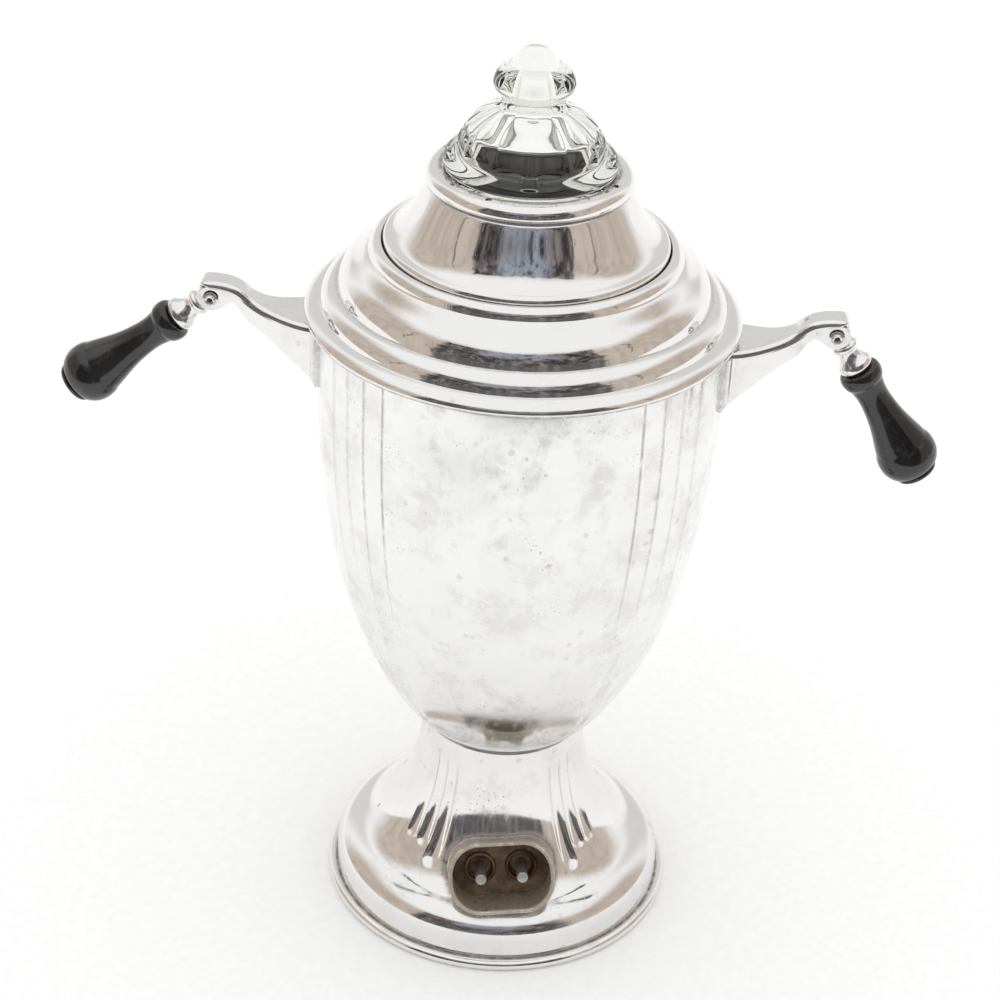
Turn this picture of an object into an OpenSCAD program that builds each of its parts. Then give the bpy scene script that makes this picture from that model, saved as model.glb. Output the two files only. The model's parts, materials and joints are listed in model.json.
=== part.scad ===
// Electric coffee urn (buffet server): chromed pedestal percolator with a glass
// lid top, two swinging handles, a two-pin heater inlet in the foot and a spigot.
// Millimetres, +Z up. The origin is on the urn's axis in the plane it stands on.
// The inlet faces -Y, the spigot +Y, and the handles stand out along -X and +X.

/* [Foot] */
// Radius of the rolled bead that the urn stands on
foot_r = 74.2; // [74:0.1:76]
// Height of the joint between the foot and the body
joint_z = 85; // [84.5:0.5:86]
// Radius of the foot's neck at that joint
neck_r = 34; // [33.5:0.1:34.5]
// How far the foot is turned on its centre stud, in degrees
foot_turn = 4.5; // [0:0.5:8]

/* [Body] */
// Largest radius of the body
body_r = 80.3; // [80:0.1:80.4]
// Thickness of the spun sheet metal
sheet = 1; // [0.8:0.1:1.1]

/* [Collar and lid] */
// Radius of the collar's lower edge
collar_r = 85.64; // [85.4:0.02:86]
// Height of the collar's lower edge
collar_z = 275.3; // [275:0.1:275.6]
// Radius of the neck ring's bead on the lid
ring_r = 40; // [39.8:0.1:40.4]

/* [Handles] */
// Distance of each handle's hinge pin from the urn's axis
hinge_x = 122.3; // [121:0.1:124]
// Height of the hinge pins
hinge_z = 273.7; // [273:0.1:274.5]
// How far the left handle hangs below level, in degrees
left_hang = 38; // [0:0.1:90]
// How far the right handle hangs below level, in degrees
right_hang = 57.3; // [0:0.1:90]

/* [Heater inlet] */
// How far the inlet points up from level, in degrees
inlet_tilt = 20; // [18:0.5:22]
// How far the inlet is rolled on its own axis, in degrees
inlet_roll = -4.5; // [-5:0.5:0]
// Distance between the inlet pins
pin_pitch = 17.46; // [17:0.01:18]
// Radius of an inlet pin
pin_r = 2.38; // [2.3:0.01:2.4]

/* [Spigot] */
// Height of the spigot's axis
spigot_z = 112; // [111:0.5:114]
// Distance of the spigot's valve from the urn's axis
valve_y = 96; // [95:0.5:98]

/* [Hidden] */
$fn = 64;

chrome = [0.80, 0.79, 0.77];
steel = [0.62, 0.62, 0.60];
brass = [0.72, 0.60, 0.36];
black = [0.06, 0.06, 0.06];

// ---- outlines in (radius, height), and how they become sheet metal ----

// Points along a cubic curve
function curve(a, b, c, d, n = 8) = [for (i = [0:n]) let (t = i / n, s = 1 - t)
    s * s * s * a + 3 * s * s * t * b + 3 * s * t * t * c + t * t * t * d];
// Points along an arc that leaves p with its outward normal raised by a0 degrees
function roll(p, r, a0, a1, n = 7) = let (c = p - r * [cos(a0), sin(a0)])
    [for (i = [0:n]) let (a = a0 + (a1 - a0) * i / n) c + r * [cos(a), sin(a)]];
function unit(v) = v / norm(v);
// Left-hand normal of an outline at point i
function side(p, i) = let (a = p[max(i - 1, 0)], b = p[min(i + 1, len(p) - 1)],
    d = unit(b - a)) [-d[1], d[0]];
// Outline of a sheet of thickness t, whose outside is the outline p
function skin(p, t) = concat(p, [for (i = [len(p) - 1:-1:0]) p[i] + t * side(p, i)]);
function tail(p) = [for (i = [1:len(p) - 1]) p[i]];

module turned(p) rotate_extrude($fn = 180) polygon(p);
module tube(r1, r0, z0, z1) translate([0, 0, z0]) difference() {
    cylinder(r = r1, h = z1 - z0);
    translate([0, 0, -1]) cylinder(r = r0, h = z1 - z0 + 2);
}
// A cylinder along +Y
module along_y(r, y0, y1) translate([0, y0, 0]) rotate([-90, 0, 0]) cylinder(r = r, h = y1 - y0);
module in_foot() rotate([0, 0, foot_turn]) children();

ring_top = 4.6;
shoulder = [60, 24.1];
foot_line = concat([[70.5, ring_top], [70.5, ring_top + 0.6], [70.2, 14.6]],
    tail(curve([70.2, 14.6], [69.4, 19.6], [65.6, 22.2], shoulder, 6)),
    tail(curve(shoulder, [50.5, 27.5], [neck_r + 1.3, 48], [neck_r, joint_z - 0.8], 12)),
    [[neck_r - 0.8, joint_z], [28, joint_z]]);

body_shoulder_z = 255;
well_hole_r = 21.5;
body_line = concat([[well_hole_r, joint_z]],
    curve([neck_r, joint_z], [56, 104], [81.6, 160], [body_r, body_shoulder_z], 22));
// The rim steps in and stands inside the collar
rim_r = collar_r - 7.34;
body_rim = concat(curve([body_r, 272], [body_r, 275.5], [rim_r, 275.5], [rim_r, 279], 4),
    [[rim_r, 280]]);

roll_2 = roll([collar_r - 6.14, collar_z + 4.2], 8, 7, 82);
roll_3 = roll(roll_2[len(roll_2) - 1], 13.5, 8, 56);
roll_end = roll_3[len(roll_3) - 1];
lip_r = 60.75;
lip_z = 300.7;
mouth_r = 55.9;
ledge_z = 298.2;
ledge_r = 52.8;
collar_line = concat([[collar_r - 0.8, collar_z - 1.4]],
    curve([collar_r, collar_z], [collar_r, collar_z + 1.8],
        [collar_r - 3.2, collar_z + 4.1], [collar_r - 5.9, collar_z + 4.15], 6),
    roll_2, tail(roll_3),
    tail(curve(roll_end, roll_end + [-2.5, 1.7], [62.6, 300.1], [lip_r, lip_z], 4)),
    tail(roll([lip_r, lip_z], 4.4, 0, 88)),
    [[mouth_r, 304.4], [mouth_r, ledge_z + 0.5], [mouth_r - 0.3, ledge_z], [ledge_r, ledge_z]]);

lid_r = 55.5;
lid_neck_r = 37.8;
lid_line = concat([[lid_r, ledge_z + 0.05], [lid_r, 305.2]],
    tail(roll([lid_r, 305.2], 2.2, 0, 80, 4)),
    curve([52.6, 307.7], [47.4, 309.6], [42.8, 321.5], [38.9, 328.4], 9),
    [[lid_neck_r, 329.4], [lid_neck_r, 333.6]]);
ring_plate_z = 336;
ring_hole_r = 30.6;
lid_ring_line = concat([[ring_r - 1.2, 329.7], [ring_r - 0.3, 330.4]],
    roll([ring_r, 331.6], 4.2, 0, 85, 5), [[ring_hole_r, ring_plate_z]]);

// ---- foot ----

module foot_shell() color(chrome) difference() {
    turned(skin(foot_line, sheet));
    in_inlet() shroud_block(0, -30, insulator_t + 3);
}

bead_r = 2.3;
module base_ring() color(chrome) turned(concat([[66, 0]],
    roll([foot_r - bead_r, 0], bead_r, -90, 90, 10), [[66, ring_top]]));

plate_r = 69;
module base_plate() color(steel) translate([0, 0, ring_top]) difference() {
    cylinder(r = plate_r, h = 1.2);
    translate([0, 0, -1]) cylinder(r = stud_r + 0.1, h = 4);
}

stud_r = 3;
well_foot_z = 56;
module center_stud() color(steel) translate([0, 0, 1.2]) cylinder(r = stud_r, h = well_foot_z - 1.2);

module stud_nut() color(brass) translate([0, 0, 1]) difference() {
    cylinder(r = 6, h = ring_top - 1, $fn = 6);
    translate([0, 0, -1]) cylinder(r = stud_r + 0.05, h = 6);
}

// ---- heater inlet, all turned with the foot ----

// Centre of the insulator's face, which all inlet pieces are placed from
inlet_at = [0, -41.7, 30.9];
shroud_w = 44.4;
shroud_h = 28.3;
shroud_round = 13;
shroud_wall = 1.6;
// Distance of the mouth's middle in front of the insulator
mouth = 16;
// How far the mouth's plane leans back past square to the inlet's axis, in degrees
mouth_lean = 18;
insulator_t = 7;

// Outward is -Y, as on the foot, but tilted up and rolled
module in_inlet() in_foot() translate(inlet_at) rotate([-inlet_tilt, 0, 0]) rotate([0, inlet_roll, 0])
    children();
module both_pins() for (s = [-1, 1]) translate([s * pin_pitch / 2, 0, 0]) children();
// Where a point of the inlet lies on the foot
function on_foot(p) = let (z = p[2] * cos(inlet_roll) - p[0] * sin(inlet_roll))
    inlet_at + [p[0] * cos(inlet_roll) + p[2] * sin(inlet_roll),
        p[1] * cos(inlet_tilt) + z * sin(inlet_tilt), z * cos(inlet_tilt) - p[1] * sin(inlet_tilt)];

module rounded(w, h, r) {
    square([w - 2 * r, h], center = true);
    square([w, h - 2 * r], center = true);
    for (x = [-1, 1], y = [-1, 1]) translate([x * (w / 2 - r), y * (h / 2 - r)]) circle(r = r);
}
module shroud_block(inset, y0, y1) translate([0, y1, 0]) rotate([90, 0, 0])
    linear_extrude(height = y1 - y0)
        rounded(shroud_w - 2 * inset, shroud_h - 2 * inset, shroud_round - inset);
module inlet_shroud() color(chrome) in_inlet() difference() {
    shroud_block(0, -30, insulator_t + 1);
    shroud_block(shroud_wall, -40, insulator_t + 2);
    translate([0, -mouth, 0]) rotate([-mouth_lean, 0, 0]) translate([-50, -50, -50]) cube([100, 50, 100]);
}

bush_r = 6.8;
bush_bore = 4.6;
bush_proud = 1.5;
bush_in = 5;
// Threaded tail of each pin, behind the insulator's face
tail_r = pin_r - 0.4;
module inlet_insulator() color([0.45, 0.38, 0.30]) in_inlet() difference() {
    shroud_block(shroud_wall + 0.05, 0, insulator_t);
    both_pins() along_y(bush_r + 0.05, -9, bush_in);
    both_pins() along_y(tail_r + 0.05, -9, 20);
}
module inlet_bushings() color(brass) in_inlet() both_pins() difference() {
    along_y(bush_r, -bush_proud, bush_in);
    along_y(bush_bore, -5, 10);
}
module pin_washers() color([0.50, 0.44, 0.34]) in_inlet() both_pins() difference() {
    along_y(bush_bore - 0.05, bush_in - 2, bush_in);
    along_y(tail_r + 0.05, -5, 10);
}
pin_out = 17;
pin_tip = 0.8;
tail_end = 14;
module inlet_pins() color(steel) in_inlet() both_pins() {
    along_y(pin_r, pin_tip - pin_out, 0);
    along_y(tail_r, 0, tail_end);
    translate([0, pin_tip - pin_out, 0]) rotate([90, 0, 0]) cylinder(r1 = pin_r, r2 = pin_r - 0.8, h = pin_tip);
}
nut_t = 3.2;
module terminal_nuts() color(brass) in_inlet() both_pins() difference() {
    translate([0, insulator_t, 0]) rotate([-90, 0, 0]) cylinder(r = 4.6, h = nut_t, $fn = 6);
    along_y(tail_r + 0.05, 5, 20);
}

wire_r = 0.9;
wire_bend_r = 1;
lug_y = insulator_t + nut_t;
lug_t = 0.8;
wire_top = 61;
heater_edge = 22.1;
fuse_z = [46, 55];
// A lead leaves its lug straight back at lead_z above the pin, then goes up; s is -1 or 1
lead_z = 3.2;
lead_back = 15.5;
function lead(s) = on_foot([s * pin_pitch / 2, lead_back, lead_z]);
module wire_up(s, z0, z1) translate([lead(s)[0], lead(s)[1], z0]) cylinder(r = wire_r, h = z1 - z0, $fn = 32);
// The wire's top bends in to the heater
module wire_end(s) translate([lead(s)[0], lead(s)[1], wire_top]) {
    sphere(r = wire_bend_r, $fn = 32);
    along_y(wire_r, 0, -heater_edge - lead(s)[1]);
}
module lead_wires() color([0.55, 0.50, 0.42]) {
    in_inlet() both_pins() {
        difference() {
            along_y(4, lug_y, lug_y + lug_t);
            along_y(tail_r + 0.05, 0, 20);
        }
        translate([0, 0, lead_z]) along_y(wire_r, lug_y + lug_t / 2, lead_back);
        translate([0, lead_back, lead_z]) sphere(r = wire_bend_r, $fn = 32);
    }
    in_foot() {
        wire_up(-1, lead(-1)[2], wire_top);
        wire_up(1, lead(1)[2], fuse_z[0]);
        wire_up(1, fuse_z[1], wire_top);
        for (s = [-1, 1]) wire_end(s);
    }
}
module safety_fuse() color([0.70, 0.70, 0.72]) in_foot() translate([lead(1)[0], lead(1)[1], fuse_z[0]])
    cylinder(r = 1.8, h = fuse_z[1] - fuse_z[0], $fn = 32);

// ---- heater and body ----

well_r = 20.5;
well_floor = 1.6;
module heater_well() color(steel) difference() {
    union() {
        translate([0, 0, well_foot_z]) cylinder(r = well_r, h = joint_z + 2.2 - well_foot_z);
        translate([0, 0, joint_z + sheet + 0.05]) cylinder(r = 26, h = 1.1);
    }
    translate([0, 0, well_foot_z + well_floor]) cylinder(r = well_r - 1, h = 40);
}
module heater_element() color([0.66, 0.60, 0.50]) tube(23.4, well_r + 0.1, 60, 79);
module heater_band() color(steel) tube(24.4, 23.5, 62, 77);

module body_shell() color(chrome) difference() {
    turned(skin(concat(body_line, body_rim), sheet));
    for (s = [-1, 1]) bracket_rivet_spots(s) cylinder(r = rivet_r, h = 30, center = true);
    translate([0, 0, spigot_z]) along_y(shank_r + 0.05, 30, 80);
}
module body_collar() color(chrome) turned(skin(collar_line, 0.9));

// ---- handles ----

ear_r = 4.6;
fork_w = 11;
cheek = 2;
tongue_w = 6.4;
rivet_r = 1.6;
hinge_r = 1.7;
flange_r = body_r + 0.1;
module mirrored(s) if (s < 0) mirror([1, 0, 0]) children(); else children();
module bracket_rivet_spots(s) mirrored(s) for (y = [-10, 10])
    translate([body_r, y, 257]) rotate([0, 90, 0]) children();

// Front of the plate, where it turns down over the hinge
nose = [hinge_x + 4.7, 279.4];
plate_top = concat(curve([79, 269], [93, 268.4], [101, 270], [108, 276.4], 7),
    tail(curve([108, 276.4], [112.5, 280.4], [117, 281], [hinge_x, 281], 5)),
    tail(curve([hinge_x, 281], nose + [-1.4, 1.6], nose + [0, 0.6], nose + [0, -1.6], 4)));
plate_plan = concat([[70, 14.6]],
    curve([85, 14.6], [95, 13.4], [98, 7], [109, 6], 8), [[122, 5.5], [130, 5.5]]);
module side_cut(points, w) rotate([90, 0, 0]) linear_extrude(height = w, center = true) polygon(points);

// Plate over the top, two cheeks with the hinge ears, and a flange on the body
module bracket_solid() {
    intersection() {
        side_cut(skin(plate_top, -2), 40);
        translate([0, 0, 200]) linear_extrude(height = 100)
            polygon(concat(plate_plan, [for (i = [len(plate_plan) - 1:-1:0]) [plate_plan[i][0], -plate_plan[i][1]]]));
        translate([0, 0, 200]) difference() {
            cylinder(r = 150, h = 100, $fn = 180);
            translate([0, 0, -1]) cylinder(r = flange_r, h = 102, $fn = 180);
        }
    }
    for (s = [-1, 1]) translate([0, s * (fork_w - cheek) / 2, 0]) {
        side_cut(concat([[flange_r + 0.8, 247], [flange_r + 0.8, 268]],
            [for (i = [2:len(plate_top) - 5]) plate_top[i] - [0, 1]],
            [[hinge_x + 3.6, hinge_z + 5.4], [hinge_x + 4.2, hinge_z]],
            [[hinge_x, hinge_z - ear_r], [116, 270.6], [112, 268.8], [107, 262]]), cheek);
        translate([hinge_x, 0, hinge_z]) rotate([90, 0, 0]) cylinder(r = ear_r, h = cheek, center = true);
    }
    intersection() {
        translate([0, 0, 246]) difference() {
            cylinder(r = flange_r + 1.8, h = 22.6, $fn = 180);
            translate([0, 0, -1]) cylinder(r = flange_r, h = 30, $fn = 180);
        }
        translate([60, -14.6, 240]) cube([40, 29.2, 40]);
    }
}
module bracket(s) color(chrome) difference() {
    mirrored(s) bracket_solid();
    bracket_rivet_spots(s) cylinder(r = rivet_r, h = 30, center = true);
    translate([s * hinge_x, 0, hinge_z]) rotate([90, 0, 0]) cylinder(r = hinge_r + 0.02, h = 30, center = true);
}
module bracket_rivets(s) color(steel) bracket_rivet_spots(s) {
    translate([0, 0, -3.2]) cylinder(r = rivet_r, h = 5.4);
    translate([0, 0, -4.2]) cylinder(r = 3, h = 1);
    translate([0, 0, 2.2]) cylinder(r1 = 3, r2 = 1.8, h = 1.1);
}
module hinge_pin(s) color(steel) translate([s * hinge_x, 0, hinge_z]) rotate([90, 0, 0]) difference() {
    union() {
        cylinder(r = hinge_r, h = fork_w, center = true);
        for (e = [-1, 1]) translate([0, 0, e * (fork_w / 2 + 0.4)]) cylinder(r = 2.6, h = 0.8, center = true);
    }
    cylinder(r = 1, h = 30, center = true);
}

// Handle pieces lie along +X from the hinge before they swing down
module swung(s) translate([s * hinge_x, 0, hinge_z]) mirrored(s)
    rotate([0, s < 0 ? left_hang : right_hang, 0]) children();
module lathe_x(p) rotate([0, 90, 0]) turned(p);
grip_x = 18.4;
button_x = 70;
rod_r = 1.5;
ferrule_line = concat([[0, 6.2], [3.3, 6.2]],
    curve([3.7, 6.8], [3.5, 11.6], [6.4, 12.4], [6.6, 15.4], 7),
    tail(curve([6.6, 15.4], [6.6, 17], [6.2, 18], [5.4, grip_x], 4)), [[0, grip_x]]);
grip_line = concat([[rod_r + 0.05, grip_x], [5.6, grip_x], [7.6, grip_x + 0.2]],
    tail(curve([7.6, 18.6], [8.7, 19.2], [8.9, 22.4], [7.7, 24.8], 6)),
    curve([7.1, 25.3], [5.9, 30.2], [6.1, 33.4], [6.5, 37], 6),
    tail(curve([6.5, 37], [7.3, 46], [9.6, 51], [11, 57.8], 8)),
    curve([11.4, 58.2], [12.5, 60.8], [12.4, 64.4], [11.1, 66.8], 6),
    tail(curve([11.1, 66.8], [10.3, 68.5], [9.3, 69.5], [8.4, button_x], 3)),
    [[rod_r + 0.05, button_x]]);
button_line = concat([[0, button_x], [8.2, button_x]],
    curve([8.4, button_x + 0.6], [8.4, 71.8], [7.4, 72.3], [5, 72.4], 5), [[0, 72.4]]);

module ferrule(s) color(chrome) swung(s) difference() {
    union() {
        lathe_x(ferrule_line);
        rotate([90, 0, 0]) cylinder(r = 4.2, h = tongue_w, center = true);
        translate([0, -tongue_w / 2, -3.4]) cube([7, tongue_w, 6.8]);
    }
    rotate([90, 0, 0]) cylinder(r = hinge_r + 0.05, h = 30, center = true);
    rotate([0, 90, 0]) translate([0, 0, 9]) cylinder(r = rod_r + 0.05, h = 10);
}
module grip(s) color(black) swung(s) lathe_x(grip_line);
module end_button(s) color(black) swung(s) difference() {
    lathe_x(button_line);
    rotate([0, 90, 0]) cylinder(r = rod_r + 0.05, h = button_x + 1.6);
}
module tie_rod(s) color(steel) swung(s) rotate([0, 90, 0]) translate([0, 0, 9.2])
    cylinder(r = rod_r, h = button_x + 1.4 - 9.2);

// ---- lid and glass ----

module lid_shell() color(chrome) turned(skin(lid_line, 0.9));
module lid_skirt() color(steel) tube(ledge_r - 0.4, ledge_r - 1.2, 288, 305.6);

first_vent = -23;
module lid_ring() color(chrome) difference() {
    turned(skin(lid_ring_line, 1));
    for (i = [0:3]) rotate([0, 0, first_vent + 90 * i]) translate([0, -35.6, ring_plate_z - 3])
        cylinder(r = 1.25, h = 6, $fn = 32);
}

glass_foot_z = 329;
glass_out = concat([[29.4, glass_foot_z], [29.4, ring_plate_z + 0.2], [32.5, ring_plate_z + 0.2]],
    curve([33.4, 337.6], [33.6, 339.4], [33, 341.6], [29.2, 342.8], 6),
    curve([28.6, 343.4], [28.4, 350.5], [22.5, 357.2], [14.5, 360], 9),
    tail(curve([14.5, 360], [12.6, 360.6], [11.8, 361.8], [11.7, 363.6], 3)),
    tail(curve([11.7, 363.6], [12, 365], [15.2, 366.6], [15.6, 369.4], 5)),
    tail(curve([15.6, 369.4], [15.4, 373], [12.9, 375.6], [8.9, 377.6], 6)),
    tail(curve([8.9, 377.6], [7.7, 380.2], [5.6, 383.8], [0, 384], 7)));
glass_in = concat([[0, 371]], curve([4, 371], [5.2, 370], [5.6, 368], [5.8, 364], 4),
    curve([7, 359.2], [16, 357], [24.6, 351], [25.2, 342], 9), [[26, glass_foot_z]]);
module glass_knob() color([0.85, 0.88, 0.82, 0.5]) turned(concat(glass_out, glass_in));
module glass_retainer() color(steel) tube(33.4, 29.5, 331.4, 332.6);

// ---- percolator insert, lifts out as one ----

pump_r = 4;
basket_z = 238;
basket_h = 50;
module pump_base() color(steel) difference() {
    translate([0, 0, well_foot_z + well_floor + 0.1]) cylinder(r1 = 18, r2 = 8, h = 12);
    translate([0, 0, well_foot_z + well_floor - 0.9]) cylinder(r1 = 16.6, r2 = 6, h = 11);
    translate([0, 0, 60]) cylinder(r = pump_r + 0.05, h = 20);
}
module pump_tube() color(steel) tube(pump_r, 3, 66, 318);
module basket_stop() color(brass) tube(6.5, pump_r + 0.05, basket_z - 4, basket_z);
module coffee_basket() color(steel) difference() {
    translate([0, 0, basket_z]) difference() {
        union() {
            cylinder(r1 = 43.5, r2 = 46, h = basket_h);
            translate([0, 0, basket_h - 1]) cylinder(r = 48, h = 1);
        }
        difference() {
            translate([0, 0, 1]) cylinder(r1 = 42.6, r2 = 45.1, h = basket_h);
            cylinder(r = 6, h = basket_h - 1.2);
        }
        translate([0, 0, -1]) cylinder(r = pump_r + 0.1, h = basket_h + 2);
        for (ring = [0:2], i = [0:5 + 6 * ring]) rotate([0, 0, 360 * i / (6 + 6 * ring)])
            translate([13 + 12 * ring, 0, -1]) cylinder(r = 1.2, h = 3, $fn = 16);
    }
}
module basket_lid() color(steel) difference() {
    translate([0, 0, basket_z + basket_h]) union() {
        tube(48, pump_r + 0.1, 0, 1);
        tube(7, pump_r + 0.1, 0, 6);
    }
    for (ring = [0:2], i = [0:5 + 6 * ring]) rotate([0, 0, 360 * i / (6 + 6 * ring)])
        translate([15 + 12 * ring, 0, basket_z + basket_h - 1]) cylinder(r = 1.2, h = 4, $fn = 16);
}

// ---- spigot ----

shank_r = 7;
shank_bore = 4.4;
boss_face = 66;
valve_r = 7.5;
nozzle_y = valve_y + 18;
module at_spigot() translate([0, 0, spigot_z]) children();
module body_filled() turned(concat([[0, joint_z]], tail(body_line), [[0, body_shoulder_z]]));
module spigot_boss() color(chrome) difference() {
    at_spigot() along_y(13, 45, boss_face);
    at_spigot() along_y(shank_r + 0.05, 30, 80);
    body_filled();
}
module spigot_gasket() color(black) at_spigot() difference() {
    along_y(10.5, boss_face, boss_face + 1.2);
    along_y(shank_r + 0.05, 60, 70);
}
module spigot_locknut() color(brass) at_spigot() difference() {
    translate([0, boss_face + 1.2, 0]) rotate([-90, 0, 0]) cylinder(r = 12, h = 5, $fn = 6);
    along_y(shank_r + 0.05, 60, 80);
}
module spigot_shank() color(chrome) at_spigot() difference() {
    along_y(shank_r, 47, valve_y - 11);
    along_y(shank_bore, 40, valve_y);
}
module spigot_body() color(chrome) at_spigot() translate([0, valve_y, 0]) difference() {
    union() {
        translate([0, 0, -14]) cylinder(r = 11, h = 28);
        along_y(9, -14.5, 0);
        along_y(7.4, 0, 18);
        translate([0, 18, 0]) sphere(r = 7.4);
        translate([0, 18, -20]) cylinder(r = 7.4, h = 20);
    }
    translate([0, 0, -20]) cylinder(r = valve_r, h = 40);
    along_y(shank_r + 0.05, -20, -11);
    along_y(shank_bore, -20, 18);
    translate([0, 18, -22]) cylinder(r = 5, h = 22);
    translate([0, 18, 0]) sphere(r = 5);
}
module valve_plug() color(brass) at_spigot() translate([0, valve_y, 0]) difference() {
    union() {
        translate([0, 0, -14.4]) cylinder(r = valve_r - 0.05, h = 28.8);
        translate([0, 0, 14.4]) cylinder(r = 9.5, h = 1.6);
        translate([0, 0, 16]) cylinder(r = 3.4, h = 12);
        translate([0, 0, -20]) cylinder(r = 3, h = 6);
    }
    rotate([0, 90, 0]) cylinder(r = shank_bore - 0.2, h = 30, center = true);
}
module valve_nut() color(brass) at_spigot() translate([0, valve_y, -18.4]) difference() {
    cylinder(r = 8.6, h = 4, $fn = 6);
    translate([0, 0, -1]) cylinder(r = 3.05, h = 6);
}
lever_half = 17;
module spigot_lever() color(black) at_spigot() translate([0, valve_y, 24]) difference() {
    union() {
        rotate([0, 90, 0]) turned(concat([[0, -lever_half]],
            curve([0, -lever_half], [6.4, -lever_half], [5.6, -8], [4.4, -5], 8),
            [for (p = curve([4.4, 5], [5.6, 8], [6.4, lever_half], [0, lever_half], 8)) p]));
        translate([0, 0, -6]) cylinder(r = 6, h = 6);
        sphere(r = 6);
    }
    translate([0, 0, -10]) cylinder(r = 3.45, h = 14);
}

foot_shell();
base_ring();
base_plate();
center_stud();
stud_nut();
inlet_shroud();
inlet_insulator();
inlet_bushings();
pin_washers();
inlet_pins();
terminal_nuts();
lead_wires();
safety_fuse();
heater_element();
heater_band();
heater_well();
body_shell();
body_collar();
bracket(-1);  // left_bracket
bracket_rivets(-1);  // left_bracket_rivets
hinge_pin(-1);  // left_hinge_pin
ferrule(-1);  // left_ferrule
grip(-1);  // left_grip
end_button(-1);  // left_end_button
tie_rod(-1);  // left_tie_rod
bracket(1);  // right_bracket
bracket_rivets(1);  // right_bracket_rivets
hinge_pin(1);  // right_hinge_pin
ferrule(1);  // right_ferrule
grip(1);  // right_grip
end_button(1);  // right_end_button
tie_rod(1);  // right_tie_rod
lid_shell();
lid_skirt();
lid_ring();
glass_knob();
glass_retainer();
pump_base();
pump_tube();
basket_stop();
coffee_basket();
basket_lid();
spigot_boss();
spigot_gasket();
spigot_locknut();
spigot_shank();
spigot_body();
valve_plug();
valve_nut();
spigot_lever();
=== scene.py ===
import json
import math

import bmesh
import bpy
import numpy as np
from mathutils import Matrix, Vector


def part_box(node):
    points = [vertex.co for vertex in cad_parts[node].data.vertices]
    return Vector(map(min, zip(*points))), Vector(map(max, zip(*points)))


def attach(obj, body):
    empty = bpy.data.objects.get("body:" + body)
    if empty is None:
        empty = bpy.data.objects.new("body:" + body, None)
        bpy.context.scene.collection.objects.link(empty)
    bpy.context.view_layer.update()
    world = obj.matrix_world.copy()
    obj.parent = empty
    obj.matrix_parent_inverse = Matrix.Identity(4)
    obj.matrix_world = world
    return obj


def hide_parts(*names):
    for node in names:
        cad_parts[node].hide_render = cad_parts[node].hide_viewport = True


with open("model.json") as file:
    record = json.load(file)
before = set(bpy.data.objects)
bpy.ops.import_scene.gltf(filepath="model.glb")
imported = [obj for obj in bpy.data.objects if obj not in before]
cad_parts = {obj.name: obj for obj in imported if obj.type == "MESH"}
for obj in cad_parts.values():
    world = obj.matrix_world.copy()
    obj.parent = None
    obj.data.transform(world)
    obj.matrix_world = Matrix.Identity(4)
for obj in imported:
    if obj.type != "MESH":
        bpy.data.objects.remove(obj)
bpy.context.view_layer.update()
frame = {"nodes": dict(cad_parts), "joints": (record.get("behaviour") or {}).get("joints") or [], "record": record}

# The looks of an electric coffee urn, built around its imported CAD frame.
# Shapes are worked out in millimetres and stored in metres. +Z is up, the heater inlet
# faces -Y and the spigot +Y. Angles round the urn run from -Y towards +X.
MM = 0.001
TAU = 2 * math.pi


# ---------------------------------------------------------------- measures from the frame

def low(node):
    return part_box(node)[0] / MM


def high(node):
    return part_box(node)[1] / MM


joints = {j["name"]: j for j in frame["joints"]}
mounts = {m["name"]: m for m in frame["record"]["mounts"]}
slot_of = {s["node"]: s["material_slot"] for s in frame["record"]["subparts"]}

foot_r = high("base_ring").x
joint_z = high("foot_shell").z
ring_top = high("base_ring").z
body_r = high("body_shell").x
collar_r = high("body_collar").x
collar_z = low("body_collar").z + 1.4
lid_z = low("lid_shell").z
plate_z = high("lid_ring").z
glass_top_z = high("glass_knob").z
pin_a, pin_b = (Vector(mounts[m]["pos_m"]) / MM for m in ("inlet_pin_a", "inlet_pin_b"))
inlet_out = Vector(mounts["inlet_pin_a"]["axis"])
foot_turn = math.atan2(inlet_out.x, -inlet_out.y)


# ---------------------------------------------------------------- outlines

def curve(a, b, c, d, n=24):
    """Points of a cubic curve, without its last one."""
    t = np.arange(n)[:, None] / n
    a, b, c, d = (np.array(p, float) for p in (a, b, c, d))
    return list((1 - t) ** 3 * a + 3 * (1 - t) ** 2 * t * b + 3 * (1 - t) * t * t * c + t ** 3 * d)


def roll(p, r, a0, a1, n=24):
    """An arc that leaves p with its outward normal raised by a0 degrees and ends at a1."""
    a = np.radians(np.linspace(a0, a1, n + 1))
    centre = np.array(p, float) - r * np.array([math.cos(a[0]), math.sin(a[0])])
    return list(centre + r * np.stack([np.cos(a), np.sin(a)], -1))


def spaced(line, step):
    """The line's points set out again, evenly, about step apart."""
    line = np.array(line, float)
    along = np.concatenate([[0], np.cumsum(np.linalg.norm(np.diff(line, axis=0), axis=1))])
    at = np.linspace(0, along[-1], max(2, round(along[-1] / step) + 1))
    return np.stack([np.interp(at, along, line[:, k]) for k in range(line.shape[1])], -1)


def softened(line, radius, step):
    """The line with its corners rounded over about radius, and its ends kept."""
    fine = spaced(line, min(step, radius) / 4)
    gap = np.linalg.norm(fine[1] - fine[0])
    half = max(1, int(3 * radius / gap))
    weight = np.exp(-0.5 * (np.arange(-half, half + 1) * gap / radius) ** 2)
    weight /= weight.sum()
    head = 2 * fine[0] - fine[half:0:-1]
    tail = 2 * fine[-1] - fine[-2:-half - 2:-1]
    if len(head) < half or len(tail) < half:
        return spaced(line, step)
    padded = np.concatenate([head, fine, tail])
    out = np.stack([np.convolve(padded[:, k], weight, "valid") for k in range(2)], -1)
    return spaced(out, step)


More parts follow.
